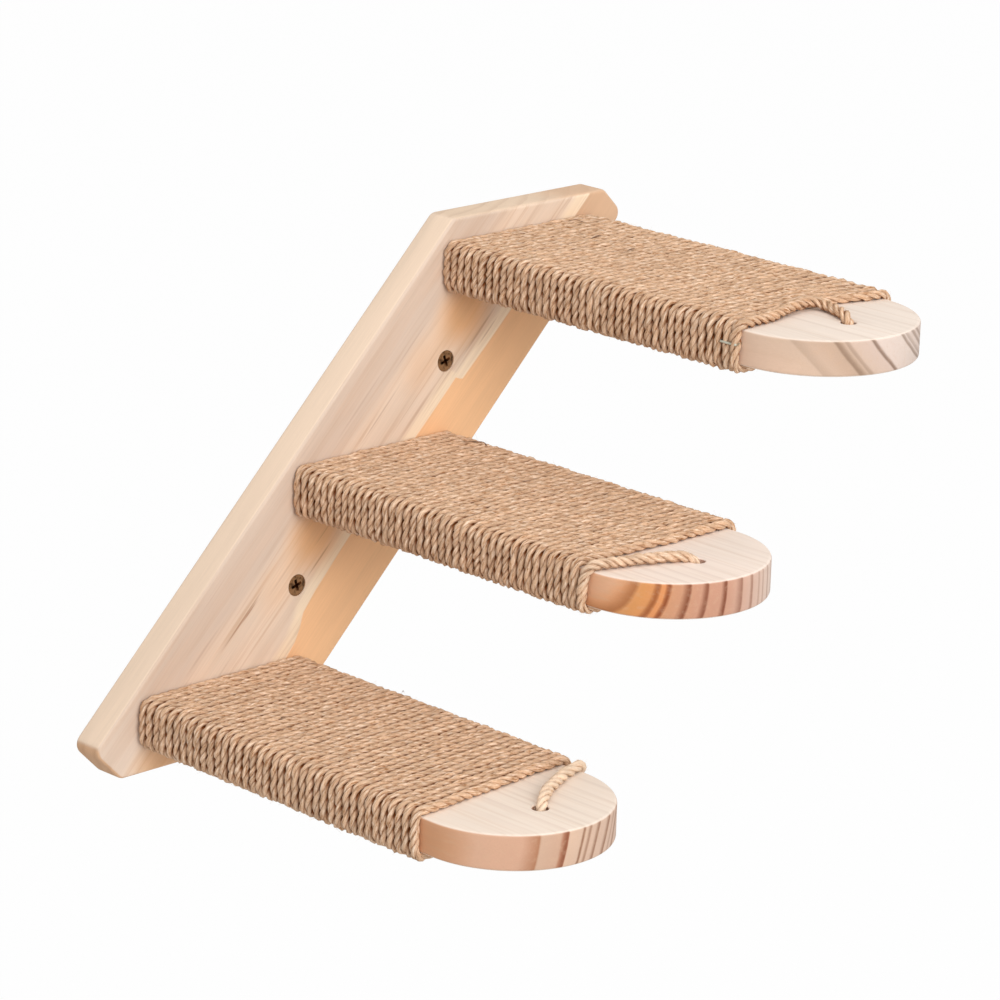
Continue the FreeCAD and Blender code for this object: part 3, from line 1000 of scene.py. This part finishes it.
jute_husk = bast("jute_husk", 900.0, seen_colour(84, 56, 36), seen_colour(142, 102, 72), 0.6)


def husk_slivers(name, slivers):
    """Closed blades that taper to both ends and bow up in their middle."""
    up = Vector((0, 0, 1))
    points = []
    faces = []
    for places, width, lift in slivers:
        line = smooth_line([Vector((right, -reach, husk_rise)) for right, reach in places])
        faces += skin(len(line), husk_sides, len(points))
        for index, spot in enumerate(line):
            bow = math.sin(math.pi * index / (len(line) - 1))
            flank = heading(line, index).cross(up)
            full = max(0.08, bow ** 0.6) * width / 2
            for corner in range(husk_sides):
                swing = math.tau * corner / husk_sides
                points.append(spot + flank * math.cos(swing) * full
                              + up * (lift * bow + math.sin(swing) * full * 0.35))
    return plain_mesh(name, points, faces, smooth=True)


for rope_number, step in enumerate(step_places):
    line, last_turn, tail_start = rope_line(step)
    frames = carried_frames([Vector((point.x, -point.y, point.z)) for point in line])
    rope = put(laid_rope(
        "jute_rope_wound_" + step, frames, last_turn, tail_start, rope_routes[step]["bleach"],
        rope_number * 7.3 + 1.1), board_place(step))
    rope.data.materials.append(jute)
    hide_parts("jute_rope_" + step)
    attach(rope, "root")
    print(step, "rope, metres", round(len(line) * ring_spacing / 1000, 2))
    hairs = put(loose_fibres("jute_hairs_" + step, frames, rope_number + 5), board_place(step))
    hairs.data.materials.append(jute_hair)
    husks = put(husk_slivers("jute_husks_" + step, husk_places[step]), board_place(step))
    husks.data.materials.append(jute_husk)
    for piece in (hairs, husks):
        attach(piece, "root")

# Wall screws
# Two countersunk cross-head screws of bronze-coloured plated steel, put in from the front
# on the plank's middle line, midway between the steps. Their threads go on into the wall.
wall_screw_length = 50.0
wall_screw_rim = 0.4
wall_screw_shank = 2.2
wall_screw_core = 2.0
wall_screw_crest = 3.0
wall_screw_pitch = 2.6
wall_screw_plain = 18.0
wall_screw_point = 6.0
wall_screw_turns = {"lower": math.radians(17), "upper": math.radians(20)}
thread_step = 0.22


def threaded(name, outline, core, crest, pitch, start, point, end, sides=32):
    """A turned head and shank that goes on as a screw thread to its point. Heights run down
    from the head's face."""
    rings = [ring_at(height, [radius] * sides) for radius, height in outline]
    count = math.ceil((end - start) / thread_step)
    for index in range(count + 1):
        down = start + (end - start) * index / count
        taper = min(1.0, (end - down) / point) ** 0.8
        rising = min(1.0, (down - start) / (pitch / 2))
        radii = []
        for side in range(sides):
            phase = (down / pitch + side / sides) % 1.0
            ridge = max(0.0, 1 - abs(phase - 0.5) / 0.28) * rising
            radii.append(max(0.05, (core + (crest - core) * ridge) * taper))
        rings.append(ring_at(-down, radii))
    return ringed(name, rings)


def cross_recess(half_length, half_width, depth):
    """The tapered cross that a driver fits in."""
    arm = [(half_length, -half_width), (half_length, half_width), (half_width, half_width)]
    corners = []
    for quarter in range(4):
        corners += arm
        arm = [(-y, x) for x, y in arm]
    return ringed("recess", [
        [Vector((x * size, y * size, height)) for x, y in corners]
        for size, height in ((1.12, 0.4), (1.0, 0.0), (0.42, -depth))])


def plated(name, paint, dark_paint, roughness):
    """Plated steel with a little grime and wear from handling."""
    material, tree, shader = new_material(name)
    grime = ranged(tree, speckle(tree, 320.0, 4.0), 0.42, 0.68)
    scratches = speckle(tree, 2600.0)
    feed(tree, shader, {
        "Base Color": mixed(tree, grime, seen_colour(*paint), seen_colour(*dark_paint)),
        "Roughness": ranged(tree, scratches, 0.3, 0.7, roughness, roughness + 0.15),
        "Normal": relief(tree, scratches, 0.2, 0.00005), "Metallic": 1.0})
    return material


bronze_plate = plated("bronze_plate", (144, 104, 70), (78, 54, 34), 0.26)
head_under = -wall_screw_rim - wall_screw_head_radius + wall_screw_shank
for name, along in wall_screw_places.items():
    outline = [
        (wall_screw_head_radius - 0.35, 0.0), (wall_screw_head_radius - 0.12, -0.04),
        (wall_screw_head_radius, -0.16), (wall_screw_head_radius, -wall_screw_rim),
        (wall_screw_shank + 0.4, head_under + 0.25), (wall_screw_shank, head_under - 0.6),
        (wall_screw_shank, -wall_screw_plain)]
    place = plank_place(along, 0.0, plank_thickness - screw_sink)
    place = place @ out_of_wall @ Matrix.Rotation(wall_screw_turns[name], 4, "Z")
    screw = put(threaded(
        "bronze_screw_" + name, outline, wall_screw_core, wall_screw_crest, wall_screw_pitch,
        wall_screw_plain, wall_screw_point, wall_screw_length), place)
    cut_away(screw, [put(cross_recess(3.2, 0.8, 2.6), place)])
    finish_piece(screw, bronze_plate, 40)
    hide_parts("wall_screw_" + name)
    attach(screw, "root")

# Step screws
# Six flat-headed, zinc-plated screws, put in from behind the plank in counterbores, two into
# the end of each board. Only their heads show, on the wall face.
step_screw_head_radius = 4.5
step_screw_head_height = 2.8
step_screw_length = 60.0
step_screw_crest = 2.25
step_screw_core = 1.6
step_screw_pitch = 2.2
step_screw_point = 5.0
zinc_plate = plated("zinc_plate", (214, 204, 176), (168, 156, 124), 0.28)
for step, along in step_places.items():
    for side, right in step_screw_sides.items():
        outline = [
            (step_screw_head_radius - 0.6, 0.0), (step_screw_head_radius - 0.15, -0.12),
            (step_screw_head_radius, -0.5), (step_screw_head_radius, -step_screw_head_height),
            (step_screw_core, -step_screw_head_height)]
        turn = Matrix.Rotation(0.4 + along + right, 4, "Z")
        place = plank_place(along, right, screw_sink) @ from_behind @ turn
        screw = put(threaded(
            "zinc_screw_" + step + "_" + side, outline, step_screw_core, step_screw_crest,
            step_screw_pitch, step_screw_head_height, step_screw_point,
            step_screw_head_height + step_screw_length, 20), place)
        cut_away(screw, [put(cross_recess(2.3, 0.6, 1.9), place)])
        finish_piece(screw, zinc_plate, 40)
        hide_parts("step_screw_" + step + "_" + side)
        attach(screw, "root")

# Rope staple
# A small bright staple of flat galvanised wire, driven into the left side of the upper board
# over the rope's last two turns.
staple_thickness = 0.4
staple_width = 1.2
staple_bite = 6.0
staple_rise = 2.0
staple_reaches = (191.9, 202.1)
staple_out = rope_side + 2.1
staple_bend = 0.7
staple_sides = 12

galvanised = plated("galvanised_wire", (196, 194, 178), (140, 138, 120), 0.3)
staple_path = []
for reach, way in zip(staple_reaches, (1, -1)):
    leg = [Vector((board_width / 2 - staple_bite, reach))]
    for part in range(6):
        swing = math.radians(part * 18)
        leg.append(Vector((
            staple_out - staple_bend * (1 - math.sin(swing)),
            reach + way * staple_bend * (1 - math.cos(swing)))))
    staple_path += leg[::way]
section = []
for part in range(staple_sides):
    swing = math.tau * (part + 0.5) / staple_sides
    section.append((
        math.copysign(abs(math.cos(swing)) ** 0.5, math.cos(swing)) * staple_thickness / 2,
        math.copysign(abs(math.sin(swing)) ** 0.3, math.sin(swing)) * staple_width / 2))
rings = []
for index, spot in enumerate(staple_path):
    ahead = heading(staple_path, index)
    across = Vector((ahead.y, -ahead.x))
    rings.append([
        Vector((*-(spot + across * thick), staple_rise + wide)) for thick, wide in section])
staple = put(ringed("wire_staple", rings), board_place("upper"))
finish_piece(staple, galvanised, 40)
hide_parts("rope_staple_upper")
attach(staple, "root")

# Floor
# A plain white studio floor well below the steps. It looks white to the camera and keeps
# the soft shadow that falls on it.
floor_drop = -600.0
floor_half = 12000.0


def seen_plainly(tree):
    """1 where the camera sees a surface itself or in metal or glass, and 0 for other rays."""
    rays = add_node(tree, "ShaderNodeLightPath").outputs
    mirrored = maths(tree, "MAXIMUM", rays["Is Glossy Ray"], rays["Is Transmission Ray"])
    return maths(tree, "MAXIMUM", rays["Is Camera Ray"], mirrored)


floor_corners = ((-1, -1), (1, -1), (1, 1), (-1, 1))
floor = put(plain_mesh(
    "studio_floor",
    [Vector((x * floor_half, y * floor_half, floor_drop)) for x, y in floor_corners],
    [(0, 1, 2, 3)]))
floor_white, tree, shader = new_material("floor_white")
feed(tree, shader, {
    "Base Color": (0.7, 0.7, 0.7, 1.0), "Roughness": 0.9, "Specular IOR Level": 0.0})
white_light = add_node(tree, "ShaderNodeEmission", {"Color": (1, 1, 1, 1), "Strength": 1.0})
blend = add_node(tree, "ShaderNodeMixShader", {
    0: times(tree, seen_plainly(tree), 0.98), 1: shader.outputs[0], 2: white_light.outputs[0]})
feed(tree, tree.nodes["Material Output"], {"Surface": blend.outputs[0]})
floor.data.materials.append(floor_white)

# Light
# A wide soft box stands in front, to the left, and a weaker one hangs above. An even white
# world fills the rest, dimmer for the object than it looks to the camera.
world = bpy.data.worlds.new("studio")
bpy.context.scene.world = world
world.use_nodes = True
tree = world.node_tree
feed(tree, tree.nodes["Background"], {
    "Strength": ranged(tree, seen_plainly(tree), 0.0, 1.0, 0.6, 1.0), "Color": (1, 1, 1, 1)})


def soft_box(name, place, aim, size, power):
    lamp = bpy.data.lights.new(name, "AREA")
    lamp.shape = "SQUARE"
    lamp.size = size
    lamp.energy = power
    box = bpy.data.objects.new(name, lamp)
    bpy.context.scene.collection.objects.link(box)
    box.location = place
    box.rotation_euler = (Vector(aim) - Vector(place)).to_track_quat("-Z", "Y").to_euler()


soft_box("box_front", (-0.8, -2.35, 1.2), (0.0, -0.1, 0.0), 1.8, 49.5)
soft_box("box_above", (-0.4, -0.6, 2.6), (0.0, -0.1, 0.0), 1.4, 11.5)

# Camera
# It looks down a little from the left front, at the photograph's angle, through a long lens,
# and is rolled by less than two degrees.
view_turn = 0.78275
view_drop = 0.29559
view_roll = 0.03035
camera_data = bpy.data.cameras.new("camera")
camera_data.sensor_width = 36.0
camera_data.lens = 158.9
camera_data.clip_end = 50.0
ahead = Vector((
    math.sin(view_turn) * math.cos(view_drop), math.cos(view_turn) * math.cos(view_drop),
    -math.sin(view_drop)))
right = Vector((math.cos(view_turn), -math.sin(view_turn), 0))
up = right.cross(ahead)
rolled_right = right * math.cos(view_roll) + up * math.sin(view_roll)
rolled_up = up * math.cos(view_roll) - right * math.sin(view_roll)
camera = bpy.data.objects.new("camera", camera_data)
bpy.context.scene.collection.objects.link(camera)
camera.matrix_world = Matrix.Translation((-1.4623, -1.5804, 0.6387)) @ Matrix(
    (rolled_right, rolled_up, -ahead)).transposed().to_4x4()
bpy.context.scene.camera = camera
bpy.context.scene.view_settings.view_transform = "Standard"
